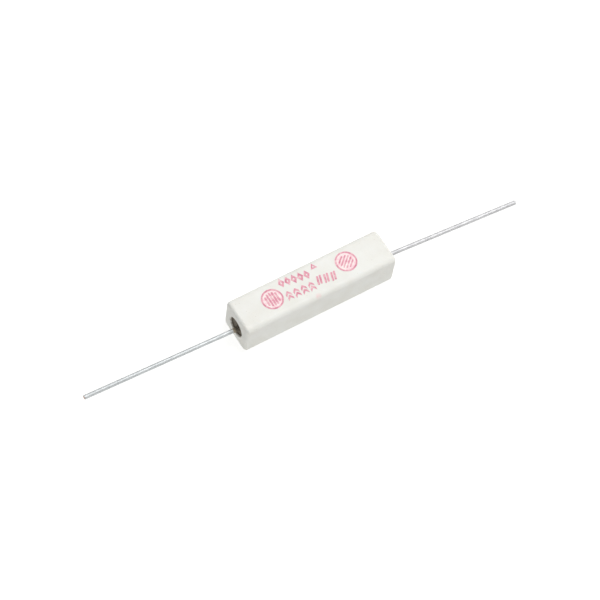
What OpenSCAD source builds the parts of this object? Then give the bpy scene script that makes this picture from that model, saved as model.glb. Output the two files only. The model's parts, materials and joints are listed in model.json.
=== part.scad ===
// Axial wirewound resistor in a square ceramic case, with one straight lead out of each end.
// The frame has +X along the body towards the right-hand lead, +Z up and the origin at
// the middle of the flat face that the body rests on.

/* [Ceramic case] */
// Length of the case along X
case_len = 38; // [30:0.5:60]
// Width of the case along Y
case_w = 9; // [8:0.1:14]
// Height of the case along Z
case_h = 9; // [8:0.1:14]
// Radius of the four long edges
long_edge_r = 1.3; // [1.1:0.1:1.8]
// Radius of the edges round each end face
end_edge_r = 0.7; // [0.3:0.1:1]
// Diameter of the bore that runs through the case
bore_d = 4.6; // [4.6:0.1:6]
// Chamfer round each mouth of the bore
mouth_chamfer = 0.2; // [0.1:0.05:0.4]

/* [Potting] */
// Depth from each end face down to the cement
recess = 0.6; // [0.4:0.1:2]
// Radius of the fillet where the cement creeps up the wall of the bore
meniscus_r = 0.25; // [0.1:0.05:0.35]

/* [Resistance element] */
// How far the element lies from the axis of the bore along Y
element_y = -0.45; // [-0.5:0.05:0.5]
// How far the element lies from the axis of the bore along Z
element_z = -0.25; // [-0.3:0.05:0.3]
// Depth of cement over the closed end of each cap
cement_over_cap = 4; // [3:0.1:8]
// Diameter of the core rod
core_d = 2; // [1.6:0.1:2.1]
// Diameter of the resistance wire
wire_d = 0.3; // [0.2:0.05:0.35]
// Distance along X from one turn of wire to the next
wire_pitch = 0.8; // [0.6:0.05:2]

/* [End caps] */
// Length of each end cap
cap_len = 3.6; // [2:0.1:5]
// Wall of each end cap round the wire
cap_wall = 0.2; // [0.15:0.05:0.25]
// Thickness of the closed end of each cap
cap_base = 0.4; // [0.3:0.05:0.8]
// Radius of the outer edge of each cap's closed end
cap_edge_r = 0.25; // [0.1:0.05:0.29]

/* [Leads] */
// Diameter of each lead
lead_d = 1; // [0.6:0.05:1.1]
// Length of the left lead beyond the end face
lead_left_len = 36.3; // [10:0.1:60]
// Length of the right lead beyond the end face
lead_right_len = 34.2; // [10:0.1:60]
// How far the left lead leans towards the back, in degrees
lead_left_yaw = 3.1; // [-4:0.1:4]
// How far the right lead leans towards the front, in degrees
lead_right_yaw = 2.8; // [-4:0.1:4]
// How far both leads droop, in degrees
lead_droop = 2; // [1:0.1:4]
// Distance from the cement to the slight bend in each lead
lead_bend_out = 0.3; // [0.2:0.05:0.6]
// Swelling of the wire's radius at that bend
lead_bend_swell = 0.02; // [0.02:0.01:0.05]
// Diameter of the weld bead that joins a lead to its cap
weld_d = 1.5; // [1.3:0.1:1.8]
// Height of that weld bead along the lead
weld_h = 0.35; // [0.2:0.05:0.5]
// Width of the bead's shoulder round the lead
weld_shoulder = 0.06; // [0.04:0.01:0.1]
// Chamfer on the cut tip of each lead
tip_chamfer = 0.12; // [0.05:0.01:0.2]

/* [Fits] */
// Clearance between the cement and what it holds
potting_clear = 0.02; // [0.01:0.01:0.04]
// Clearance between the rod, the wire and the caps
element_clear = 0.02; // [0.01:0.01:0.04]

/* [Hidden] */

// Facets of the round surfaces
round_fn = 64;
small_fn = 32;
// Straight steps in one turn of the wire, and sides of its section
turn_steps = 16;
wire_sides = 6;
// Extra length that carries a cut clear through a face
cut_over = 1;

half_len = case_len / 2;
axis_z = case_h / 2;
cement_x = half_len - recess;

// The core rod fills what the cement and the caps' closed ends leave of the case's length.
core_len = 2 * (cement_x - cement_over_cap - cap_base - element_clear);

// The wire's own radius from the axis leaves its straight steps clear of the rod.
wire_path_r = (core_d / 2 + element_clear + wire_d / 2) / cos(180 / turn_steps);
wire_out_r = wire_path_r + wire_d / 2;
wire_travel = core_len - wire_d;
wire_turns = wire_travel / wire_pitch;
wire_rings = ceil(wire_turns * turn_steps);

cap_bore_r = wire_out_r + element_clear;
cap_r = cap_bore_r + cap_wall;
// The cap's closed end seats on the end of the rod.
cap_in_x = core_len / 2 + element_clear;
cap_out_x = cap_in_x + cap_base;
cap_rim_x = cap_out_x - cap_len;

// The two straight stretches of a lead end inside the ball of its bend.
bend_x = cement_x + lead_bend_out;
bend_gap = 0.1;

// The lean and the droop of a lead together are one tilt in a plane turned about X.
function lead_tilt(yaw) = acos(cos(yaw) * cos(lead_droop));
function lead_turn(yaw, side) = atan2(-sin(lead_droop), side * sin(yaw) * cos(lead_droop));
function lead_run(tilt, free_len) = free_len + (half_len - bend_x) / cos(tilt);

// Rectangle with round corners, centred on the origin
module round_rectangle(size_x, size_y, corner_r) {
    square([size_x - 2 * corner_r, size_y], center = true);
    square([size_x, size_y - 2 * corner_r], center = true);
    for (sx = [-1, 1], sy = [-1, 1])
        translate([sx * (size_x / 2 - corner_r), sy * (size_y / 2 - corner_r)])
            circle(corner_r, $fn = small_fn);
}

// Round bar along X, centred on the origin
module bar(bar_r, bar_len) {
    rotate([0, 90, 0])
        cylinder(r = bar_r, h = bar_len, center = true, $fn = round_fn);
}

// Round bar along X with its end edges rounded, for one long edge of the case
module long_edge() {
    rotate([0, 90, 0])
        rotate_extrude($fn = round_fn)
            intersection() {
                round_rectangle(2 * long_edge_r, case_len, end_edge_r);
                translate([0, -case_len / 2])
                    square([long_edge_r, case_len]);
            }
}

// Solid outer form of the case: four rounded long edges and the two slabs between them
module case_block() {
    for (sy = [-1, 1], sz = [-1, 1])
        translate([0, sy * (case_w / 2 - long_edge_r), sz * (case_h / 2 - long_edge_r)])
            long_edge();
    rotate([90, 0, 0])
        linear_extrude(case_w - 2 * long_edge_r, center = true)
            round_rectangle(case_len, case_h, end_edge_r);
    linear_extrude(case_h - 2 * long_edge_r, center = true)
        round_rectangle(case_len, case_w, end_edge_r);
}

module ceramic_case() {
    color("#efeee8")
        translate([0, 0, axis_z])
            difference() {
                case_block();
                bar(bore_d / 2, case_len + 2 * cut_over);
                for (side = [0, 1])
                    mirror([side, 0, 0])
                        translate([half_len - mouth_chamfer, 0, 0])
                            rotate([0, 90, 0])
                                cylinder(r1 = bore_d / 2, r2 = bore_d / 2 + mouth_chamfer + cut_over,
                                         h = mouth_chamfer + cut_over, $fn = round_fn);
            }
}

// What lies on the axis of the element, moved to its place in the bore
module at_element() {
    translate([0, element_y, axis_z + element_z])
        children();
}

// Lead pointing along +X from the cap: the weld bead, the potted stub, the bend and the
// straight run beyond it
module lead_form(form_r, bead_r, tilt, turn, run, chamfer) {
    translate([cap_out_x, 0, 0])
        rotate([0, 90, 0]) {
            cylinder(r1 = bead_r, r2 = form_r + weld_shoulder, h = weld_h, $fn = small_fn);
            cylinder(r = form_r, h = bend_x - bend_gap - cap_out_x, $fn = small_fn);
        }
    translate([bend_x, 0, 0]) {
        sphere(form_r + lead_bend_swell, $fn = small_fn);
        rotate([turn, 0, 0])
            rotate([0, 90, tilt])
                rotate_extrude($fn = small_fn)
                    polygon([[0, bend_gap], [form_r, bend_gap], [form_r, run - chamfer],
                             [form_r - chamfer, run], [0, run]]);
    }
}

module right_lead_form(form_r, bead_r, chamfer) {
    tilt = lead_tilt(lead_right_yaw);
    lead_form(form_r, bead_r, tilt, lead_turn(lead_right_yaw, -1),
              lead_run(tilt, lead_right_len), chamfer);
}

module left_lead_form(form_r, bead_r, chamfer) {
    tilt = lead_tilt(lead_left_yaw);
    mirror([1, 0, 0])
        lead_form(form_r, bead_r, tilt, lead_turn(lead_left_yaw, 1),
                  lead_run(tilt, lead_left_len), chamfer);
}

module lead_right() {
    color("#c9cbcb")
        at_element()
            right_lead_form(lead_d / 2, weld_d / 2, tip_chamfer);
}

module lead_left() {
    color("#c9cbcb")
        at_element()
            left_lead_form(lead_d / 2, weld_d / 2, tip_chamfer);
}

// Deep-drawn cup that closes the +X end of the element
module cap_form() {
    rotate([0, 90, 0])
        rotate_extrude($fn = round_fn)
            difference() {
                union() {
                    translate([0, cap_rim_x])
                        square([cap_r, cap_len - cap_edge_r]);
                    translate([0, cap_rim_x])
                        square([cap_r - cap_edge_r, cap_len]);
                    translate([cap_r - cap_edge_r, cap_out_x - cap_edge_r])
                        circle(cap_edge_r, $fn = small_fn);
                }
                translate([-cut_over, cap_rim_x - cut_over])
                    square([cap_bore_r + cut_over, cap_in_x - cap_rim_x + cut_over]);
                translate([-cut_over, cap_rim_x - cut_over])
                    square([cut_over, cap_len + 2 * cut_over]);
            }
}

module end_cap_right() {
    color("#b9b4a8")
        at_element()
            cap_form();
}

module end_cap_left() {
    color("#b9b4a8")
        at_element()
            mirror([1, 0, 0])
                cap_form();
}

module core_rod() {
    color("#d8cfae")
        at_element()
            bar(core_d / 2, core_len);
}

// Corner of the wire's section at one ring of the helix
function ring_point(ring, side) =
    let (share = ring / wire_rings,
         turn = 360 * wire_turns * share,
         around = 360 * side / wire_sides,
         reach = wire_path_r + wire_d / 2 * cos(around))
    [wire_travel * (share - 0.5) + wire_d / 2 * sin(around), reach * cos(turn), reach * sin(turn)];

// One wire wound from end to end of the rod, its ends held under the caps
module resistance_wire() {
    points = [for (ring = [0:wire_rings], side = [0:wire_sides - 1]) ring_point(ring, side)];
    walls = [for (ring = [0:wire_rings - 1], side = [0:wire_sides - 1])
        let (next = (side + 1) % wire_sides, here = ring * wire_sides, there = here + wire_sides)
        [here + side, here + next, there + next, there + side]];
    first_end = [for (side = [wire_sides - 1:-1:0]) side];
    last_end = [for (side = [0:wire_sides - 1]) wire_rings * wire_sides + side];
    color("#8f8a80")
        at_element()
            polyhedron(points, concat(walls, [first_end, last_end]), convexity = 10);
}

// Cement that fills the bore round the element and creeps a little up the wall at each end
module potting_cement() {
    cement_r = bore_d / 2 - potting_clear;
    color("#544f47")
        difference() {
            translate([0, 0, axis_z])
                bar(cement_r, 2 * (cement_x + meniscus_r));
            translate([0, 0, axis_z])
                for (side = [0, 1])
                    mirror([side, 0, 0])
                        rotate([0, 90, 0])
                            meniscus_cut(cement_r);
            at_element() {
                bar(cap_bore_r, 2 * cap_rim_x + potting_clear);
                for (side = [0, 1])
                    mirror([side, 0, 0])
                        translate([(cap_rim_x + cap_out_x) / 2, 0, 0])
                            bar(cap_r + potting_clear, cap_len + 2 * potting_clear);
                right_lead_form(lead_d / 2 + potting_clear, weld_d / 2 + potting_clear, tip_chamfer);
                left_lead_form(lead_d / 2 + potting_clear, weld_d / 2 + potting_clear, tip_chamfer);
            }
        }
}

// Room above the cement at one end, with the fillet left standing along the wall
module meniscus_cut(cement_r) {
    rotate_extrude($fn = round_fn) {
        translate([0, cement_x])
            square([cement_r - meniscus_r, meniscus_r + cut_over]);
        translate([0, cement_x + meniscus_r])
            square([cement_r + cut_over, cut_over]);
        intersection() {
            translate([cement_r - meniscus_r, cement_x + meniscus_r])
                circle(meniscus_r, $fn = small_fn);
            translate([cement_r - meniscus_r, cement_x])
                square([meniscus_r, meniscus_r]);
        }
    }
}

ceramic_case();
potting_cement();
core_rod();
resistance_wire();
end_cap_left();
end_cap_right();
lead_left();
lead_right();
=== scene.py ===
"""Looks of an axial resistor in a ceramic case: finishes, printed marks, cement and studio."""
import json
import logging
import math
from dataclasses import dataclass, field, replace
from enum import Enum
from typing import Any

import bpy
from mathutils import Matrix, Vector

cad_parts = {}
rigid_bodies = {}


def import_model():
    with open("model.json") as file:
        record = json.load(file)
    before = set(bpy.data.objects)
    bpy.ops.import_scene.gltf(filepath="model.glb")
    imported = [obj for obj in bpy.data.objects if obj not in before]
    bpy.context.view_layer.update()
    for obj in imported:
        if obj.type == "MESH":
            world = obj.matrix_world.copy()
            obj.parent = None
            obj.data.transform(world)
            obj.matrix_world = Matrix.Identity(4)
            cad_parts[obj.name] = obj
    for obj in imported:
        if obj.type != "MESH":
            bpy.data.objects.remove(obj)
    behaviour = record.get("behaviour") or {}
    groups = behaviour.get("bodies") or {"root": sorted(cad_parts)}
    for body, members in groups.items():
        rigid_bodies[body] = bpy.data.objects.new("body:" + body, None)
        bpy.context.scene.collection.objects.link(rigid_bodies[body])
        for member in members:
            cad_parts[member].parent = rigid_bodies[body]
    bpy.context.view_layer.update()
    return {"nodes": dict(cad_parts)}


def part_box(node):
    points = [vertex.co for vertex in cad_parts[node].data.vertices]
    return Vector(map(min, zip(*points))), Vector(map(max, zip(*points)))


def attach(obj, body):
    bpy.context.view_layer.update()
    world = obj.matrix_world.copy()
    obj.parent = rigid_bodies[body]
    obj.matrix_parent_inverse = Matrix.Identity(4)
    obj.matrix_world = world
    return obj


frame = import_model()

LOG = logging.getLogger("resistor")

Material = bpy.types.Material
Piece = bpy.types.Object
Socket = bpy.types.NodeSocket
Tree = bpy.types.NodeTree
Pair = tuple[float, float]
Point = tuple[float, float, float]

MM = 0.001
BODY = "root"
CUT_DEPTH_MM = 0.07  # how far the bare copper reaches in from a lead's cut tip


def srgb(hex_code: str) -> tuple[float, float, float, float]:
    """Turn an sRGB hex colour into Blender's linear colour.

    Args:
        hex_code: Colour as "#rrggbb".

    Returns:
        Linear red, green and blue, and an alpha of 1.
    """
    channels = [int(hex_code[i:i + 2], 16) / 255 for i in (1, 3, 5)]
    linear = [c / 12.92 if c <= 0.04045 else ((c + 0.055) / 1.055) ** 2.4 for c in channels]
    return (linear[0], linear[1], linear[2], 1.0)


def per_mm(feature_mm: float) -> float:
    """Give the texture scale, per metre, that makes one feature feature_mm wide.

    Args:
        feature_mm: Size of one feature of the pattern in millimetres.

    Returns:
        The scale for a texture node that reads Object coordinates in metres.
    """
    return 1.0 / (feature_mm * MM)


def feed(tree: Tree, node: bpy.types.Node, inputs: dict[str | int, Any]) -> None:
    """Set or link the inputs of a node.

    Args:
        tree: The node tree.
        node: The node whose inputs are fed.
        inputs: Input names or numbers, each with a value or an output socket to link.
    """
    for name, value in inputs.items():
        if isinstance(value, Socket):
            tree.links.new(value, node.inputs[name])
        else:
            node.inputs[name].default_value = value


def add_node(tree: Tree, kind: str, inputs: dict[str | int, Any] | None = None,
             **settings: Any) -> bpy.types.Node:
    """Add a node, set its options, and set or link its inputs.

    Args:
        tree: The node tree that takes the node.
        kind: The node's type name.
        inputs: Input names or numbers, each with a value or an output socket to link.
        settings: The node's own options, such as operation.

    Returns:
        The new node.
    """
    node = tree.nodes.new(kind)
    for name, value in settings.items():
        setattr(node, name, value)
    feed(tree, node, inputs or {})
    return node


def stretch(tree: Tree, value: Socket, before: Pair, after: Pair = (0.0, 1.0)) -> Socket:
    """Stretch a value from one range to another, held at the ends of the new range.

    Args:
        tree: The node tree.
        value: The socket that gives the value.
        before: The two values that become the ends of the new range.
        after: The ends of the new range.

    Returns:
        The socket with the stretched value.
    """
    return add_node(tree, "ShaderNodeMapRange",
                    {"Value": value, "From Min": before[0], "From Max": before[1],
                     "To Min": after[0], "To Max": after[1]}).outputs["Result"]


def new_material(name: str) -> tuple[Material, Tree, bpy.types.Node, Socket]:
    """Start a material with an empty Principled shader.

    Args:
        name: The material's name.

    Returns:
        The material, its tree, its Principled node and the Object coordinates socket.
    """
    material = bpy.data.materials.new(name)
    material.use_nodes = True
    tree = material.node_tree
    tree.nodes.clear()
    shader = add_node(tree, "ShaderNodeBsdfPrincipled")
    add_node(tree, "ShaderNodeOutputMaterial", {"Surface": shader.outputs["BSDF"]})
    coordinates = add_node(tree, "ShaderNodeTexCoord").outputs["Object"]
    return material, tree, shader, coordinates


@dataclass(frozen=True)
class MattSteatite:
    """Pressed and fired steatite, unglazed: a chalky warm white with a fine dry grain.

    The bore's wall and mouth carry a thin brown film of the cement that was poured in.
    """

    bore_radius_mm: float
    axis_z_mm: float
    body_hex: str = "#ebebe6"
    shade_hex: str = "#e6e5de"
    cloud_mm: float = 4.0
    cloud_limits: Pair = (0.35, 0.7)
    speck_hex: str = "#b9ae9c"
    speck_mm: float = 1.3
    speck_limits: Pair = (0.075, 0.04)
    speck_share: float = 0.5
    smudge_hex: str = "#f0d3d3"
    smudge_at_mm: Point = (-0.9, -3.95, 8.75)
    smudge_reach_mm: Pair = (0.85, 0.1)
    smudge_patch_mm: float = 0.5
    smudge_limits: Pair = (0.3, 0.6)
    film_hex: str = "#8f8271"
    film_edge_mm: float = 0.28
    film_patch_mm: float = 0.6
    film_limits: Pair = (0.34, 0.62)
    wave_mm: float = 2.2
    wave_depth_mm: float = 0.006
    pit_mm: float = 0.7
    pit_limits: Pair = (0.03, 0.2)
    pit_depth_mm: float = 0.05
    # Real grit is about 0.05 mm across; it is drawn coarser, so that it shows.
    grit_mm: float = 0.2
    grit_depth_mm: float = 0.032
    roughness: Pair = (0.55, 0.78)
    ior: float = 1.58
    depth_share: float = 0.12
    depth_tint: tuple[float, float, float] = (1.0, 0.9, 0.8)
    depth_mm: float = 0.4

    def fired_white(self, tree: Tree, place: Socket) -> Socket:
        """Mix the white of the body with clouds from the firing and sparse specks.

        Args:
            tree: The material's tree.
            place: The Object coordinates.

        Returns:
            The colour.
        """
        cloud = add_node(tree, "ShaderNodeTexNoise",
                         {"Vector": place, "Scale": per_mm(self.cloud_mm), "Detail": 3.0})
        tone = add_node(tree, "ShaderNodeMix",
                        {"Factor": stretch(tree, cloud.outputs["Fac"], self.cloud_limits),
                         6: srgb(self.body_hex), 7: srgb(self.shade_hex)},
                        data_type="RGBA")
        cells = add_node(tree, "ShaderNodeTexVoronoi",
                         {"Vector": place, "Scale": per_mm(self.speck_mm), "Randomness": 1.0})
        speck = stretch(tree, cells.outputs["Distance"], self.speck_limits)
        faint = add_node(tree, "ShaderNodeMath", {0: speck, 1: self.speck_share},
                         operation="MULTIPLY")
        flecked = add_node(tree, "ShaderNodeMix",
                           {"Factor": faint.outputs["Value"], 6: tone.outputs[2],
                            7: srgb(self.speck_hex)},
                           data_type="RGBA")
        return add_node(tree, "ShaderNodeMix",
                        {"Factor": self.smudge(tree, place), 6: flecked.outputs[2],
                         7: srgb(self.smudge_hex)},
                        data_type="RGBA").outputs[2]

    def smudge(self, tree: Tree, place: Socket) -> Socket:
        """Find the faint smudge of marking ink on the long front edge of the top face.

        Args:
            tree: The material's tree.
            place: The Object coordinates.

        Returns:
            How strong the smudge is, from 0 to 1.
        """
        spot = tuple(c * MM for c in self.smudge_at_mm)
        away = add_node(tree, "ShaderNodeVectorMath", {0: place, 1: spot}, operation="DISTANCE")
        edge, core = self.smudge_reach_mm
        near = stretch(tree, away.outputs["Value"], (edge * MM, core * MM))
        uneven = add_node(tree, "ShaderNodeTexNoise",
                          {"Vector": place, "Scale": per_mm(self.smudge_patch_mm), "Detail": 3.0})
        return add_node(tree, "ShaderNodeMath",
                        {0: near, 1: stretch(tree, uneven.outputs["Fac"], self.smudge_limits)},
                        operation="MULTIPLY").outputs["Value"]

    def cement_film(self, tree: Tree, place: Socket) -> Socket:
        """Find where the cement's thin film clings: on the bore's wall, in uneven patches.

        Args:
            tree: The material's tree.
            place: The Object coordinates.

        Returns:
            How strong the film is, from 0 to 1.
        """
        across = add_node(tree, "ShaderNodeMapping",
                          {"Vector": place, "Location": (0.0, 0.0, -self.axis_z_mm * MM),
                           "Scale": (0.0, 1.0, 1.0)})
        radius = add_node(tree, "ShaderNodeVectorMath", {0: across.outputs["Vector"]},
                          operation="LENGTH")
        reach = (self.bore_radius_mm + self.film_edge_mm) * MM
        near = stretch(tree, radius.outputs["Value"], (reach, self.bore_radius_mm * MM))
        patch = add_node(tree, "ShaderNodeTexNoise",
                         {"Vector": place, "Scale": per_mm(self.film_patch_mm), "Detail": 3.0})
        broken = stretch(tree, patch.outputs["Fac"], self.film_limits)
        return add_node(tree, "ShaderNodeMath", {0: near, 1: broken},
                        operation="MULTIPLY").outputs["Value"]

    def dry_grain(self, tree: Tree, place: Socket, grit: Socket) -> Socket:
        """Build the relief: slow waves from the pressing, fine grit, and scattered pits.

        Args:
            tree: The material's tree.
            place: The Object coordinates.
            grit: The noise of the grit.

        Returns:
            The normal.
        """
        wave = add_node(tree, "ShaderNodeTexNoise",
                        {"Vector": place, "Scale": per_mm(self.wave_mm), "Detail": 1.0})
        slow = add_node(tree, "ShaderNodeBump",
                        {"Height": wave.outputs["Fac"], "Distance": self.wave_depth_mm * MM,
                         "Strength": 1.0})
        cells = add_node(tree, "ShaderNodeTexVoronoi",
                         {"Vector": place, "Scale": per_mm(self.pit_mm), "Randomness": 1.0})
        pit = add_node(tree, "ShaderNodeBump",
                       {"Height": stretch(tree, cells.outputs["Distance"], self.pit_limits),
                        "Distance": self.pit_depth_mm * MM, "Strength": 0.8,
                        "Normal": slow.outputs["Normal"]})
        return add_node(tree, "ShaderNodeBump",
                        {"Height": grit, "Distance": self.grit_depth_mm * MM, "Strength": 1.0,
                         "Normal": pit.outputs["Normal"]}).outputs["Normal"]

    def build(self) -> Material:
        """Build the material.

        Returns:
            The finished material.
        """
        material, tree, shader, place = new_material("matt_steatite")
        stained = add_node(tree, "ShaderNodeMix",
                           {"Factor": self.cement_film(tree, place),
                            6: self.fired_white(tree, place), 7: srgb(self.film_hex)},
                           data_type="RGBA")
        grit = add_node(tree, "ShaderNodeTexNoise",
                        {"Vector": place, "Scale": per_mm(self.grit_mm), "Detail": 4.0,
                         "Roughness": 0.6}).outputs["Fac"]
        feed(tree, shader, {"Base Color": stained.outputs[2],
                            "Roughness": stretch(tree, grit, (0.0, 1.0), self.roughness),
                            "Normal": self.dry_grain(tree, place, grit), "IOR": self.ior,
                            "Subsurface Weight": self.depth_share,
                            "Subsurface Radius": self.depth_tint,
                            "Subsurface Scale": self.depth_mm * MM})
        return material


@dataclass(frozen=True)
class SiliconeCement:
    """Filled silicone cement, cast and baked: dark grey-brown, dull, with sandy grains.

    Where it has crept out of the bore in a thin film it has dried to a pale tan.
    """

    face_mm: float
    dark_hex: str = "#5c544a"
    light_hex: str = "#8f8779"
    grain_mm: float = 0.16
    grain_limits: Pair = (0.4, 0.72)
    grain_depth_mm: float = 0.05
    # Sand grains are about 0.1 to 0.2 mm; their cells are drawn coarser, so that they show.
    sand_hex: str = "#c2bbac"
    sand_mm: float = 0.3
    sand_share: Pair = (0.62, 0.85)
    sand_edge: Pair = (0.42, 0.25)
    sand_depth_mm: float = 0.04
    lump_mm: float = 0.9
    lump_depth_mm: float = 0.1
    film_hex: str = "#b3a690"
    film_reach_mm: Pair = (0.2, 0.9)
    roughness: float = 0.92

    def build(self) -> Material:
        """Build the material.

        Returns:
            The finished material.
        """
        material, tree, shader, place = new_material("silicone_cement")
        grain = add_node(tree, "ShaderNodeTexNoise",
                         {"Vector": place, "Scale": per_mm(self.grain_mm), "Detail": 5.0,
                          "Roughness": 0.65})
        lump = add_node(tree, "ShaderNodeTexNoise",
                        {"Vector": place, "Scale": per_mm(self.lump_mm), "Detail": 2.0})
        colour = add_node(tree, "ShaderNodeMix",
                          {"Factor": stretch(tree, grain.outputs["Fac"], self.grain_limits),
                           6: srgb(self.dark_hex), 7: srgb(self.light_hex)},
                          data_type="RGBA")
        sand = self.sand(tree, place)
        sandy = add_node(tree, "ShaderNodeMix",
                         {"Factor": sand, 6: colour.outputs[2], 7: srgb(self.sand_hex)},
                         data_type="RGBA")
        along = add_node(tree, "ShaderNodeSeparateXYZ", {"Vector": place}).outputs["X"]
        reach = add_node(tree, "ShaderNodeMath", {0: along}, operation="ABSOLUTE")
        start, full = ((self.face_mm + out) * MM for out in self.film_reach_mm)
        thin = stretch(tree, reach.outputs["Value"], (start, full))
        dried = add_node(tree, "ShaderNodeMix",
                         {"Factor": thin, 6: sandy.outputs[2], 7: srgb(self.film_hex)},
                         data_type="RGBA")
        slow = add_node(tree, "ShaderNodeBump",
                        {"Height": lump.outputs["Fac"],
                         "Distance": self.lump_depth_mm * MM, "Strength": 0.8})
        fine = add_node(tree, "ShaderNodeBump",
                        {"Height": grain.outputs["Fac"],
                         "Distance": self.grain_depth_mm * MM, "Strength": 1.0,
                         "Normal": slow.outputs["Normal"]})
        proud = add_node(tree, "ShaderNodeBump",
                         {"Height": sand, "Distance": self.sand_depth_mm * MM, "Strength": 0.8,
                          "Normal": fine.outputs["Normal"]})
        feed(tree, shader, {"Base Color": dried.outputs[2], "Roughness": self.roughness,
                            "Normal": proud.outputs["Normal"]})
        return material

    def sand(self, tree: Tree, place: Socket) -> Socket:
        """Find the pale sand grains of the filler that lie at the surface.

        Args:
            tree: The material's tree.
            place: The Object coordinates.

        Returns:
            1 on a grain and 0 between the grains.
        """
        cells = add_node(tree, "ShaderNodeTexVoronoi",
                         {"Vector": place, "Scale": per_mm(self.sand_mm), "Randomness": 1.0})
        shade = add_node(tree, "ShaderNodeSeparateColor", {"Color": cells.outputs["Color"]})
        shown = stretch(tree, shade.outputs["Red"], self.sand_share)
        round_grain = stretch(tree, cells.outputs["Distance"], self.sand_edge)
        return add_node(tree, "ShaderNodeMath", {0: shown, 1: round_grain},
                        operation="MULTIPLY").outputs["Value"]


@dataclass(frozen=True)
class DrawnMetal:
    """Drawn wire or sheet: metal with fine lines along the part and a little cloudiness."""

    name: str
    light_hex: str
    dark_hex: str
    roughness: float
    # Real die lines are about 0.01 mm wide; they are drawn coarser, so that they show.
    line_mm: float = 0.08
    line_len_mm: float = 14.0
    line_depth_mm: float = 0.002
    cloud_mm: float = 1.6
    cloud_limits: Pair = (0.35, 0.75)
    cloud_rough: Pair = (-0.06, 0.08)
    metallic: float = 1.0
    cut_hex: str = ""
    cut_from_mm: Pair = (0.0, 0.0)
    cut_feather_mm: float = 0.03

    def build(self) -> Material:
        """Build the material.

        Returns:
            The finished material.
        """
        material, tree, shader, place = new_material(self.name)
        # The drawing die leaves long thin lines, so the noise is stretched along X.
        stretched = add_node(tree, "ShaderNodeMapping",
                             {"Vector": place,
                              "Scale": (per_mm(self.line_len_mm), per_mm(self.line_mm),
                                        per_mm(self.line_mm))})
        lines = add_node(tree, "ShaderNodeTexNoise",
                         {"Vector": stretched.outputs["Vector"], "Scale": 1.0, "Detail": 3.0})
        cloud = add_node(tree, "ShaderNodeTexNoise",
                         {"Vector": place, "Scale": per_mm(self.cloud_mm), "Detail": 3.0})
        colour = add_node(tree, "ShaderNodeMix",
                          {"Factor": stretch(tree, cloud.outputs["Fac"], self.cloud_limits),
                           6: srgb(self.light_hex), 7: srgb(self.dark_hex)},
                          data_type="RGBA")
        metal = colour.outputs[2]
        if self.cut_hex:
            metal = self.bare_cuts(tree, place, metal)
        smooth, rough = (self.roughness + step for step in self.cloud_rough)
        spread = stretch(tree, cloud.outputs["Fac"], (0.0, 1.0), (smooth, rough))
        bump = add_node(tree, "ShaderNodeBump",
                        {"Height": lines.outputs["Fac"], "Distance": self.line_depth_mm * MM,
                         "Strength": 0.7})
        feed(tree, shader, {"Base Color": metal, "Metallic": self.metallic,
                            "Roughness": spread, "Normal": bump.outputs["Normal"]})
        return material

    def bare_cuts(self, tree: Tree, place: Socket, metal: Socket) -> Socket:
        """Show the bare core where the wire was cut at each of its two far ends.

        Args:
            tree: The material's tree.
            place: The Object coordinates.
            metal: Colour of the plated wire.

        Returns:
            The colour with the cut faces.
        """
        along = add_node(tree, "ShaderNodeSeparateXYZ", {"Vector": place}).outputs["X"]
        low, high = (cut * MM for cut in self.cut_from_mm)
        feather = self.cut_feather_mm * MM
        before = stretch(tree, along, (low, low - feather))
        after = stretch(tree, along, (high, high + feather))
        either = add_node(tree, "ShaderNodeMath", {0: before, 1: after}, operation="MAXIMUM")
        return add_node(tree, "ShaderNodeMix",
                        {"Factor": either.outputs["Value"], 6: metal, 7: srgb(self.cut_hex)},
                        data_type="RGBA").outputs[2]


@dataclass(frozen=True)
class GlassFibreRod:
    """Pultruded glass fibre in resin: straw-coloured, with fibres along the rod."""

    straw_hex: str = "#d9cfa6"
    fibre_hex: str = "#b9aa78"
    # A fibre is about 0.01 mm thick; what is drawn is a bundle of them.
    fibre_mm: float = 0.12
    fibre_len_mm: float = 10.0
    fibre_depth_mm: float = 0.01
    roughness: float = 0.5

    def build(self) -> Material:
        """Build the material.

        Returns:
            The finished material.
        """
        material, tree, shader, place = new_material("glass_fibre_rod")
        stretched = add_node(tree, "ShaderNodeMapping",
                             {"Vector": place,
                              "Scale": (per_mm(self.fibre_len_mm), per_mm(self.fibre_mm),
                                        per_mm(self.fibre_mm))})
        fibres = add_node(tree, "ShaderNodeTexNoise",
                          {"Vector": stretched.outputs["Vector"], "Scale": 1.0, "Detail": 2.0})
        colour = add_node(tree, "ShaderNodeMix",
                          {"Factor": fibres.outputs["Fac"], 6: srgb(self.straw_hex),
                           7: srgb(self.fibre_hex)},
                          data_type="RGBA")
        bump = add_node(tree, "ShaderNodeBump",
                        {"Height": fibres.outputs["Fac"],
                         "Distance": self.fibre_depth_mm * MM, "Strength": 0.6})
        feed(tree, shader, {"Base Color": colour.outputs[2], "Roughness": self.roughness,
                            "Normal": bump.outputs["Normal"]})
        return material


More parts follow.
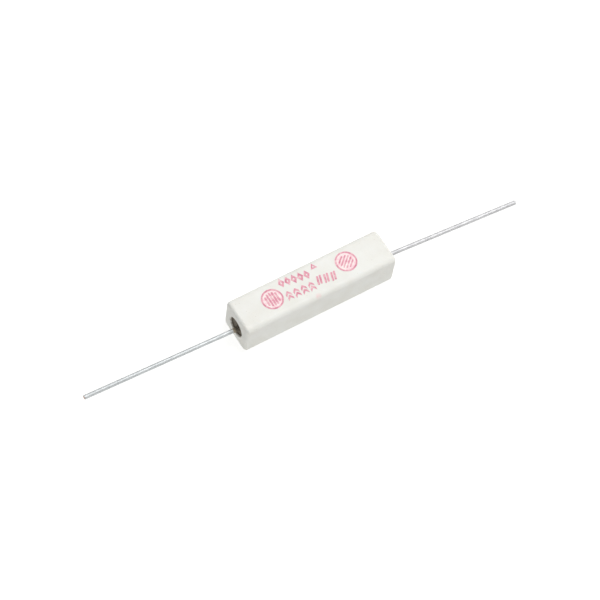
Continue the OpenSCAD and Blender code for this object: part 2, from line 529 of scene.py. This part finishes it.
@dataclass(frozen=True)
class StampedInk:
    """Heat-cured marking ink, stamped on a chalky surface.

    It is patchy: dense where the stamp pressed, thin elsewhere, with the white showing through.
    """

    name: str
    dense_hex: str
    ink_hex: str
    bare_hex: str
    cover_limits: Pair
    patch_mm: float = 0.35
    pinhole_mm: float = 0.12
    pinhole_share: float = 0.35
    press_mm: float = 1.0
    press_share: float = 0.45
    press_limits: Pair = (0.36, 0.52)
    grain_depth_mm: float = 0.006
    roughness: float = 0.6

    def build(self) -> Material:
        """Build the material.

        Returns:
            The finished material.
        """
        material, tree, shader, place = new_material(self.name)
        patch = add_node(tree, "ShaderNodeTexNoise",
                         {"Vector": place, "Scale": per_mm(self.patch_mm), "Detail": 3.0})
        pinhole = add_node(tree, "ShaderNodeTexNoise",
                           {"Vector": place, "Scale": per_mm(self.pinhole_mm), "Detail": 2.0})
        both = add_node(tree, "ShaderNodeMix",
                        {"Factor": self.pinhole_share, 2: patch.outputs["Fac"],
                         3: pinhole.outputs["Fac"]},
                        data_type="FLOAT")
        press = add_node(tree, "ShaderNodeTexNoise",
                         {"Vector": place, "Scale": per_mm(self.press_mm), "Detail": 2.0})
        uneven = add_node(tree, "ShaderNodeMix",
                          {"Factor": self.press_share, 2: both.outputs[0],
                           3: press.outputs["Fac"]},
                          data_type="FLOAT")
        ink = add_node(tree, "ShaderNodeMix",
                       {"Factor": stretch(tree, press.outputs["Fac"], self.press_limits),
                        6: srgb(self.dense_hex), 7: srgb(self.ink_hex)},
                       data_type="RGBA")
        colour = add_node(tree, "ShaderNodeMix",
                          {"Factor": stretch(tree, uneven.outputs[0], self.cover_limits),
                           6: ink.outputs[2], 7: srgb(self.bare_hex)},
                          data_type="RGBA")
        bump = add_node(tree, "ShaderNodeBump",
                        {"Height": patch.outputs["Fac"],
                         "Distance": self.grain_depth_mm * MM, "Strength": 0.6})
        feed(tree, shader, {"Base Color": colour.outputs[2], "Roughness": self.roughness,
                            "Normal": bump.outputs["Normal"]})
        return material


@dataclass(frozen=True)
class PaleTable:
    """White translucent table lit softly from below, so that shadows on it stay faint."""

    white_hex: str = "#fbfbfa"
    glow: float = 0.9
    albedo_hex: str = "#8c8c8b"
    cloud_hex: str = "#8a8a89"
    cloud_mm: float = 60.0
    cloud_limits: Pair = (0.3, 0.9)
    roughness: float = 0.9
    sheen_level: float = 0.1

    def build(self) -> Material:
        """Build the material.

        Returns:
            The finished material.
        """
        material, tree, shader, place = new_material("pale_table")
        cloud = add_node(tree, "ShaderNodeTexNoise",
                         {"Vector": place, "Scale": per_mm(self.cloud_mm), "Detail": 2.0})
        colour = add_node(tree, "ShaderNodeMix",
                          {"Factor": stretch(tree, cloud.outputs["Fac"], self.cloud_limits),
                           6: srgb(self.albedo_hex), 7: srgb(self.cloud_hex)},
                          data_type="RGBA")
        feed(tree, shader, {"Base Color": colour.outputs[2], "Roughness": self.roughness,
                            "Specular IOR Level": self.sheen_level,
                            "Emission Color": srgb(self.white_hex),
                            "Emission Strength": self.glow})
        return material


def deselect_all() -> None:
    """Clear the selection, which an operator would act on."""
    for other in bpy.data.objects:
        other.select_set(False)
    bpy.context.view_layer.objects.active = None


def activate(piece: Piece) -> None:
    """Select one piece alone and make it the active one.

    Args:
        piece: The piece that the next operators act on.
    """
    deselect_all()
    piece.select_set(True)
    bpy.context.view_layer.objects.active = piece


class Pick(Enum):
    """What edit mode selects, under Blender's own name for it."""

    VERTICES = "VERT"
    EDGES = "EDGE"
    FACES = "FACE"


def edit_mode(pick: Pick, everything: bool = True) -> None:
    """Enter edit mode in one select mode with everything or nothing selected.

    Args:
        pick: What is selected.
        everything: Whether all of it is selected, or none.
    """
    bpy.ops.object.mode_set(mode="EDIT")
    bpy.ops.mesh.select_mode(type=pick.value)
    bpy.ops.mesh.select_all(action="SELECT" if everything else "DESELECT")


def object_mode() -> None:
    """Go back to object mode."""
    bpy.ops.object.mode_set(mode="OBJECT")


def settle(piece: Piece) -> None:
    """Apply place, turn and scale, so that the piece's place is in its mesh.

    Args:
        piece: The piece to settle.
    """
    activate(piece)
    bpy.ops.object.transform_apply(location=True, rotation=True, scale=True)


def apply_modifier(piece: Piece, kind: str, **settings: Any) -> None:
    """Add a modifier to a piece, set it and apply it.

    Args:
        piece: The piece.
        kind: The modifier's type name.
        settings: The modifier's options.
    """
    activate(piece)
    modifier = piece.modifiers.new(kind.lower(), kind)
    for name, value in settings.items():
        setattr(modifier, name, value)
    bpy.ops.object.modifier_apply(modifier=modifier.name)


def dress(piece: Piece, material: Material) -> None:
    """Give a piece one material.

    Args:
        piece: A new piece or a CAD node's object.
        material: The material.
    """
    if piece.material_slots:
        for slot in piece.material_slots:
            slot.material = material
    else:
        piece.data.materials.append(material)


def join(pieces: list[Piece], name: str) -> Piece:
    """Join several pieces into one mesh.

    Args:
        pieces: The pieces, each with its place applied.
        name: The name of the joined piece.

    Returns:
        The joined piece.
    """
    activate(pieces[0])
    for piece in pieces:
        piece.select_set(True)
    if len(pieces) > 1:
        bpy.ops.object.join()
    joined = bpy.context.view_layer.objects.active
    joined.name = name
    joined.data.name = name
    return joined


class MarkShape(Enum):
    """The plain shapes that the printed marks are made of."""

    RING = "ring"
    DISC = "disc"
    LOZENGE = "lozenge"
    TRIANGLE = "triangle"
    BAR = "bar"
    CHEVRON = "chevron"


CORNERS = {MarkShape.RING: 48, MarkShape.DISC: 40, MarkShape.LOZENGE: 4, MarkShape.TRIANGLE: 3}
STROKE_MM = 0.46  # width of a printed line
MARK_MM = 2.35  # height of an ornament


@dataclass(frozen=True)
class Mark:
    """One plain printed shape on the top face: its centre, its size, and its turn.

    The size is the length of a bar or the span of a chevron, and the outer radius of the
    other shapes. The stroke is the width of the line, and 0 fills the shape. The rise is
    the height of a chevron's point above its ends. All are in millimetres.
    """

    shape: MarkShape
    x: float
    y: float
    size: float
    stroke: float = 0.0
    turn_deg: float = 0.0
    squeeze: float = 1.0
    rise: float = 0.0


class Motif(Enum):
    """The ornaments that a row repeats, each as its marks about the ornament's own centre."""

    LOZENGE = (Mark(MarkShape.LOZENGE, 0.0, 0.0, MARK_MM / 2, STROKE_MM, squeeze=0.62),)
    TRIANGLE = (Mark(MarkShape.TRIANGLE, 0.0, 0.0, 0.4 * MARK_MM, 0.7 * STROKE_MM),)
    CHEVRONS = tuple(Mark(MarkShape.CHEVRON, 0.0, lift, 1.35, 1.45 * STROKE_MM, rise=0.75)
                     for lift in (-0.55, 0.45))
    SLANTS = tuple(Mark(MarkShape.BAR, offset, 0.0, 0.95 * MARK_MM, STROKE_MM, 72.0)
                   for offset in (-0.34, 0.34))


@dataclass(frozen=True)
class MarkRow:
    """A row of like marks: where its first and last stand, how many, and what each is."""

    first: Pair
    last: Pair
    count: int
    motif: Motif

    def places(self) -> list[Pair]:
        """Spread the marks evenly along the row.

        Returns:
            Centre along X and along Y of each mark.
        """
        spots = []
        for step in range(self.count):
            share = step / max(self.count - 1, 1)
            spots.append((self.first[0] + share * (self.last[0] - self.first[0]),
                          self.first[1] + share * (self.last[1] - self.first[1])))
        return spots


@dataclass
class PrintedMarks:
    """Plain marks stamped in ink on the top face: two badges and rows of simple ornaments."""

    top_z: float
    badge_left: Pair = (-10.1, 0.1)
    badge_right: Pair = (8.85, 0.45)
    badge_radius: float = 2.5
    badge_margins: Pair = (0.75, 0.85)
    badge_pitch: float = 0.64
    badge_slant_deg: float = 41.98721
    thin_share: float = 0.75
    rim_stroke: float = 0.38
    edge_wander: float = 0.03
    corner_share: float = 0.4
    ink_height: float = 0.02
    ink_sunk: float = 0.01
    rows: tuple[MarkRow, ...] = (
        MarkRow((-6.4, 2.6), (-0.45, 1.75), 5, Motif.LOZENGE),
        MarkRow((1.8, 2.75), (1.8, 2.75), 1, Motif.TRIANGLE),
        MarkRow((-6.4, -0.85), (-0.95, -1.2), 4, Motif.CHEVRONS),
        MarkRow((1.3, -0.7), (4.55, -1.3), 3, Motif.SLANTS),
    )
    strokes: list[Mark] = field(default_factory=list)
    washes: list[Mark] = field(default_factory=list)

    def lay_out_badges(self) -> None:
        """Lay out the two round badges: upright bars in the left, slanted ones in the right."""
        badges = ((self.badge_left, self.badge_margins[0], 90.0, STROKE_MM),
                  (self.badge_right, self.badge_margins[1], self.badge_slant_deg,
                   self.thin_share * STROKE_MM))
        for (x, y), margin, turn_deg, stroke in badges:
            self.washes.append(Mark(MarkShape.DISC, x, y,
                                    self.badge_radius - self.rim_stroke / 2))
            self.strokes.append(Mark(MarkShape.RING, x, y, self.badge_radius, self.rim_stroke))
            turn = math.radians(turn_deg)
            for step in range(-2, 3):
                offset = step * self.badge_pitch
                reach = math.sqrt((self.badge_radius - margin) ** 2 - offset ** 2)
                self.strokes.append(Mark(MarkShape.BAR, x + offset * math.sin(turn),
                                         y - offset * math.cos(turn), 2 * reach, stroke,
                                         turn_deg))

    def lay_out_rows(self) -> None:
        """Lay out the rows of small ornaments between the badges."""
        for row in self.rows:
            for x, y in row.places():
                for mark in row.motif.value:
                    self.strokes.append(replace(mark, x=x + mark.x, y=y + mark.y))

    def flat_shape(self, mark: Mark) -> Piece:
        """Model one mark as a flat outline on the top face.

        Args:
            mark: The mark to model.

        Returns:
            The flat mesh, with its place applied.
        """
        deselect_all()
        place = (mark.x * MM, mark.y * MM, self.top_z)
        if mark.shape is MarkShape.BAR:
            bpy.ops.mesh.primitive_plane_add(size=1.0, location=place)
            piece = bpy.context.object
            piece.scale = (mark.size * MM, mark.stroke * MM, 1.0)
            piece.rotation_euler = (0.0, 0.0, math.radians(mark.turn_deg))
            settle(piece)
            edit_mode(Pick.VERTICES)
            bpy.ops.mesh.bevel(offset=mark.stroke * MM * self.corner_share, segments=3,
                               affect="VERTICES")
            object_mode()
            return piece
        if mark.shape is MarkShape.CHEVRON:
            return self.chevron(mark, place)
        bpy.ops.mesh.primitive_circle_add(vertices=CORNERS[mark.shape], radius=mark.size * MM,
                                          fill_type="NGON", location=place)
        piece = bpy.context.object
        piece.scale = (mark.squeeze, 1.0, 1.0)
        settle(piece)
        if mark.stroke:
            edit_mode(Pick.FACES)
            bpy.ops.mesh.inset(thickness=mark.stroke * MM)
            bpy.ops.mesh.delete(type="FACE")
            object_mode()
        return piece

    def chevron(self, mark: Mark, place: Point) -> Piece:
        """Model a chevron: a plane cut across its middle, with the middle moved up.

        Args:
            mark: The mark to model.
            place: Its centre in metres.

        Returns:
            The flat mesh, with its place applied.
        """
        bpy.ops.mesh.primitive_plane_add(size=1.0, location=place)
        piece = bpy.context.object
        piece.scale = (mark.size * MM, mark.stroke * MM, 1.0)
        settle(piece)
        middle = mark.x * MM
        edit_mode(Pick.EDGES)
        bpy.ops.mesh.bisect(plane_co=(middle, 0.0, 0.0), plane_no=(1.0, 0.0, 0.0))
        edit_mode(Pick.VERTICES, everything=False)
        object_mode()
        for vertex in piece.data.vertices:
            vertex.select = abs(vertex.co.x - middle) < mark.size * MM / 4
        bpy.ops.object.mode_set(mode="EDIT")
        bpy.ops.transform.translate(value=(0.0, mark.rise * MM, 0.0))
        edit_mode(Pick.VERTICES)
        bpy.ops.transform.translate(value=(0.0, -mark.rise * MM / 2, 0.0))
        object_mode()
        return piece

    def layer(self, marks: list[Mark], name: str, rise: float) -> Piece:
        """Model one layer of ink: its marks, made uneven at their edges and given thickness.

        Args:
            marks: The marks in the layer.
            name: The name of the piece.
            rise: Height of the ink's surface above the top face, in millimetres.

        Returns:
            The finished piece.
        """
        piece = join([self.flat_shape(mark) for mark in marks], name)
        activate(piece)
        edit_mode(Pick.VERTICES)
        bpy.ops.transform.vertex_random(offset=self.edge_wander * MM, uniform=0.0, normal=0.0,
                                        seed=7)
        bpy.ops.transform.resize(value=(1.0, 1.0, 0.0),
                                 center_override=(0.0, 0.0, self.top_z + rise * MM))
        object_mode()
        apply_modifier(piece, "SOLIDIFY", thickness=(rise + self.ink_sunk) * MM, offset=-1.0)
        return piece

    def build(self, stroke_ink: Material, wash_ink: Material) -> list[Piece]:
        """Build both layers of ink.

        Args:
            stroke_ink: Material of the strokes.
            wash_ink: Material of the pale fill of the badges.

        Returns:
            The two pieces.
        """
        self.lay_out_badges()
        self.lay_out_rows()
        wash = self.layer(self.washes, "print_wash", self.ink_height / 2)
        strokes = self.layer(self.strokes, "print_strokes", self.ink_height)
        dress(wash, wash_ink)
        dress(strokes, stroke_ink)
        return [wash, strokes]


class End(Enum):
    """The two ends of the case, with the sign of X that each lies towards."""

    LEFT = -1
    RIGHT = 1


@dataclass
class CementFace:
    """Rough skin of the cement at one end.

    It is lumpy, climbs a little up the wall of the bore, and stands up in a collar that
    has crept out along the lead. All lengths are in metres and depths are measured inwards
    from the end face. The lean is the lead's rise or drift for each metre beyond its bend.
    """

    end: End
    face_x: float
    axis_z: float
    bore_radius: float
    surface_depth: float = 0.58 * MM
    rim_depth: float = 0.34 * MM
    collar_depth: float = 0.06 * MM
    lead_y: float = -0.45 * MM
    lead_z_off: float = -0.25 * MM
    bend_depth: float = 0.3 * MM
    lean_y: float = 0.051
    lean_z: float = 0.035
    creep: float = 0.15 * MM
    collar_inner: float = 0.46 * MM
    collar_outer: float = 0.95 * MM
    wall_gap: float = 0.07 * MM
    segments: int = 48
    skin: float = 0.1 * MM
    lump: float = 0.11 * MM
    lump_size: float = 0.45 * MM

    def profile(self) -> list[tuple[float, float, float]]:
        """Give the rings of the skin from the lead to the wall of the bore.

        Returns:
            Radius, depth, and share of the way from the lead's axis to the bore's axis.
        """
        wall = self.bore_radius - self.wall_gap
        rings = [(self.collar_inner, -self.creep, 0.0),
                 (self.collar_inner + 0.09 * MM, -self.creep + 0.05 * MM, 0.0),
                 (self.collar_inner + 0.12 * MM, -self.creep / 2, 0.0),
                 (self.collar_inner + 0.16 * MM, self.collar_depth, 0.0),
                 (self.collar_inner + 0.25 * MM, self.collar_depth + 0.2 * MM, 0.0),
                 (self.collar_outer - 0.12 * MM, self.surface_depth - 0.12 * MM, 0.0),
                 (self.collar_outer, self.surface_depth - 0.03 * MM, 0.0)]
        for share in (0.25, 0.5, 0.75, 0.9):
            radius = self.collar_outer + share * (wall - 0.22 * MM - self.collar_outer)
            rings.append((radius, self.surface_depth, share))
        rings += [(wall - 0.1 * MM, self.surface_depth - 0.07 * MM, 0.97),
                  (wall - 0.03 * MM, self.surface_depth - 0.15 * MM, 1.0),
                  (wall, self.rim_depth, 1.0)]
        return rings

    def centre(self, depth: float, share: float) -> Vector:
        """Work out the centre of one ring.

        Args:
            depth: Depth of the ring below the end face.
            share: Share of the way from the lead's axis to the bore's axis.

        Returns:
            The ring's centre.
        """
        beyond_bend = max(self.bend_depth - depth, 0.0)
        lead_y = self.lead_y - self.end.value * self.lean_y * beyond_bend
        lead_z = self.lead_z_off - self.lean_z * beyond_bend
        return Vector((self.end.value * (self.face_x - depth), lead_y * (1 - share),
                       self.axis_z + lead_z * (1 - share)))

    def build(self, cement: Material) -> Piece:
        """Model the skin ring by ring and dress it.

        Args:
            cement: Material of the skin.

        Returns:
            The finished piece.
        """
        rings = self.profile()
        radius, depth, share = rings[0]
        deselect_all()
        bpy.ops.mesh.primitive_circle_add(vertices=self.segments, radius=radius,
                                          fill_type="NOTHING",
                                          location=self.centre(depth, share),
                                          rotation=(0.0, math.pi / 2, 0.0))
        piece = bpy.context.object
        settle(piece)
        edit_mode(Pick.EDGES)
        for (radius, depth, share), (old_radius, old_depth, old_share) in zip(rings[1:], rings):
            here, there = self.centre(old_depth, old_share), self.centre(depth, share)
            bpy.ops.mesh.extrude_edges_move(TRANSFORM_OT_translate={"value": there - here})
            bpy.ops.transform.resize(value=(1.0, radius / old_radius, radius / old_radius),
                                     center_override=there)
        bpy.ops.mesh.select_all(action="SELECT")
        bpy.ops.mesh.subdivide(number_cuts=1)
        object_mode()
        self.face_outwards(piece)
        clouds = bpy.data.textures.new("cement_lumps", "CLOUDS")
        clouds.noise_scale = self.lump_size
        apply_modifier(piece, "DISPLACE", texture=clouds, texture_coords="LOCAL",
                       strength=self.lump, mid_level=0.5)
        apply_modifier(piece, "SOLIDIFY", thickness=self.skin, offset=-1.0)
        activate(piece)
        bpy.ops.object.shade_smooth()
        piece.name = f"cement_skin_{self.end.name.lower()}"
        piece.data.name = piece.name
        dress(piece, cement)
        return piece

    def face_outwards(self, piece: Piece) -> None:
        """Turn the open skin so that its faces look out of the bore.

        Args:
            piece: The skin.
        """
        lean = sum(face.normal.x * face.area for face in piece.data.polygons)
        if lean * self.end.value < 0:
            activate(piece)
            edit_mode(Pick.FACES)
            bpy.ops.mesh.flip_normals()
            object_mode()


@dataclass
class CaseAndElement:
    """The pieces that the construction model already holds at their true shape."""

    nodes: dict[str, Piece]

    def dress_all(self, finishes: dict[str, Material]) -> None:
        """Give each construction piece its finish.

        Args:
            finishes: Material for each node's name.
        """
        for name, material in finishes.items():
            dress(self.nodes[name], material)
            LOG.info("%s takes %s", name, material.name)


@dataclass(frozen=True)
class SoftBox:
    """One square soft light: where it hangs and its side in metres, and its power in watts."""

    name: str
    place: Point
    side: float
    watts: float


@dataclass
class Studio:
    """Camera, floor and soft light, as the photograph was taken: from above, over the left end."""

    target: Point
    azimuth_deg: float = -40.0
    elevation_deg: float = 60.08
    roll_deg: float = 9.82
    distance_mm: float = 492.7
    lens_mm: float = 135.84
    aim_right_mm: float = 2.33
    aim_up_mm: float = 2.12
    sensor_mm: float = 36.0
    clip: Pair = (0.01, 20.0)
    floor_size_mm: float = 4000.0
    floor_z_mm: float = -0.03
    sky_left: float = 0.31
    sky_right: float = 0.38
    sky_zenith: float = 0.42
    sky_back: float = 0.8
    sky_reach: float = 0.8
    soft_boxes: tuple[SoftBox, ...] = (
        SoftBox("key_soft_box", (0.2, 0.03, 0.68), 0.4, 4.9),
        SoftBox("fill_soft_box", (-0.38, -0.6, 0.36), 0.6, 0.5),
    )

    def axes(self) -> tuple[Vector, Vector, Vector]:
        """Work out the camera's own axes.

        Returns:
            Right, up and backward directions of the camera.
        """
        azimuth, elevation = math.radians(self.azimuth_deg), math.radians(self.elevation_deg)
        back = Vector((math.sin(azimuth) * math.cos(elevation),
                       -math.cos(azimuth) * math.cos(elevation), math.sin(elevation)))
        level = Vector((0.0, 0.0, 1.0)).cross(back).normalized()
        upright = back.cross(level)
        roll = math.radians(self.roll_deg)
        right = level * math.cos(roll) + upright * math.sin(roll)
        up = upright * math.cos(roll) - level * math.sin(roll)
        return right, up, back

    def add_camera(self) -> Piece:
        """Add the camera and make it the scene's.

        Returns:
            The camera.
        """
        right, up, back = self.axes()
        place = (Vector(self.target) - right * self.aim_right_mm * MM - up * self.aim_up_mm * MM
                 + back * self.distance_mm * MM)
        data = bpy.data.cameras.new("studio_camera")
        data.lens = self.lens_mm
        data.sensor_width = self.sensor_mm
        data.clip_start, data.clip_end = self.clip
        camera = bpy.data.objects.new("studio_camera", data)
        bpy.context.scene.collection.objects.link(camera)
        turn = Matrix((right, up, back)).transposed().to_4x4()
        camera.matrix_world = Matrix.Translation(place) @ turn
        bpy.context.scene.camera = camera
        return camera

    def add_floor(self) -> Piece:
        """Add the pale table that the part lies on.

        Returns:
            The floor.
        """
        deselect_all()
        bpy.ops.mesh.primitive_plane_add(size=self.floor_size_mm * MM,
                                         location=(0.0, 0.0, self.floor_z_mm * MM))
        floor = bpy.context.object
        floor.name = "pale_floor"
        dress(floor, PaleTable().build())
        return floor

    def add_soft_box(self, box: SoftBox) -> Piece:
        """Add one soft light that faces the part.

        Args:
            box: Its name, place, side and power.

        Returns:
            The light.
        """
        data = bpy.data.lights.new(box.name, "AREA")
        data.shape = "SQUARE"
        data.size = box.side
        data.energy = box.watts
        light = bpy.data.objects.new(box.name, data)
        bpy.context.scene.collection.objects.link(light)
        light.location = box.place
        light.rotation_mode = "QUATERNION"
        aim = Vector(self.target) - Vector(box.place)
        light.rotation_quaternion = aim.to_track_quat("-Z", "Y")
        return light

    def add_sky(self) -> None:
        """Fill the room with a soft white, brightest low on the side of the right end."""
        world = bpy.data.worlds.new("soft_room")
        world.use_nodes = True
        tree = world.node_tree
        direction = add_node(tree, "ShaderNodeTexCoord").outputs["Generated"]
        axes = add_node(tree, "ShaderNodeSeparateXYZ", {"Vector": direction})
        level = stretch(tree, axes.outputs["X"], (-1.0, 1.0), (self.sky_left, self.sky_right))
        fall = stretch(tree, axes.outputs["Z"], (0.0, self.sky_reach), (1.0, self.sky_zenith))
        back = stretch(tree, axes.outputs["Y"], (0.0, self.sky_reach), (1.0, self.sky_back))
        front = add_node(tree, "ShaderNodeMath", {0: level, 1: fall}, operation="MULTIPLY")
        sky = add_node(tree, "ShaderNodeMath", {0: front.outputs["Value"], 1: back},
                       operation="MULTIPLY")
        feed(tree, tree.nodes["Background"],
             {"Color": srgb("#ffffff"), "Strength": sky.outputs["Value"]})
        bpy.context.scene.world = world

    def build(self) -> None:
        """Set up the whole studio."""
        bpy.context.scene.view_settings.view_transform = "Standard"
        self.add_camera()
        self.add_floor()
        self.add_sky()
        for box in self.soft_boxes:
            self.add_soft_box(box)


def finishes_by_node(bore_radius: float, axis_z: float, face_x: float) -> dict[str, Material]:
    """Build the finishes of the construction pieces.

    Args:
        bore_radius: Radius of the bore in metres.
        axis_z: Height of the bore's axis in metres.
        face_x: Distance of the end faces from the middle in metres.

    Returns:
        Material for each node's name.
    """
    # The tin is thin, so the copper core shows at the two cut tips. It has dulled under a thin
    # oxide, so it isn't fully metallic. The left lead's copy is a little darker and cooler in
    # colour: a painted cool reflection and painted shade, not a change in the metal.
    tips = (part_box("lead_left")[0][0] / MM + CUT_DEPTH_MM,
            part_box("lead_right")[1][0] / MM - CUT_DEPTH_MM)
    tinned, painted_reflection_wire = (
        DrawnMetal(name, light, dark, roughness, metallic=0.7, line_depth_mm=0.006,
                   cut_hex="#b98a6c", cut_from_mm=tips).build()
        for name, light, dark, roughness in (
            ("tinned_copper_wire", "#dbdbdc", "#c9c9cb", 0.63),
            ("tinned_copper_wire_painted_reflection", "#d7dadb", "#c6cacb", 0.61)))
    cap = DrawnMetal("drawn_cap_steel", "#c6c1b5", "#a8a294", 0.38, line_mm=0.2).build()
    alloy = DrawnMetal("resistance_alloy_wire", "#9c968b", "#7e786e", 0.42).build()
    return {
        "ceramic_case": MattSteatite(bore_radius / MM, axis_z / MM).build(),
        "potting_cement": SiliconeCement(face_x / MM).build(),
        "core_rod": GlassFibreRod().build(),
        "resistance_wire": alloy,
        "end_cap_left": cap,
        "end_cap_right": cap,
        # The left lead takes the copy whose colour holds a painted cool reflection and painted
        # shade.
        "lead_left": painted_reflection_wire,
        "lead_right": tinned,
    }


def main() -> None:
    """Build every piece in order and report it."""
    logging.basicConfig(level=logging.INFO, format="%(name)s: %(message)s")
    case_low, case_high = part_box("ceramic_case")
    cement_low, cement_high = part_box("potting_cement")
    bore_radius = (cement_high[2] - cement_low[2]) / 2
    axis_z = (case_low[2] + case_high[2]) / 2
    finishes = finishes_by_node(bore_radius, axis_z, case_high[0])
    CaseAndElement(frame["nodes"]).dress_all(finishes)

    stroke_ink = StampedInk("crimson_marking_ink", "#d38096", "#e19cac", "#f2e0df",
                            cover_limits=(0.5, 0.72)).build()
    wash_ink = StampedInk("pink_marking_wash", "#f1bdc8", "#f6d3d9", "#f5efea",
                          cover_limits=(0.42, 0.62)).build()
    for piece in PrintedMarks(top_z=case_high[2]).build(stroke_ink, wash_ink):
        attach(piece, BODY)
        LOG.info("%s has %d faces", piece.name, len(piece.data.polygons))

    # The cement has crept out further along the left lead than along the right one.
    for end, creep in ((End.LEFT, 1.0 * MM), (End.RIGHT, 0.15 * MM)):
        skin = CementFace(end, case_high[0], axis_z, bore_radius, creep=creep)
        piece = skin.build(finishes["potting_cement"])
        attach(piece, BODY)
        LOG.info("%s has %d faces", piece.name, len(piece.data.polygons))

    Studio(target=(0.0, 0.0, axis_z)).build()


if __name__ == "__main__":
    main()
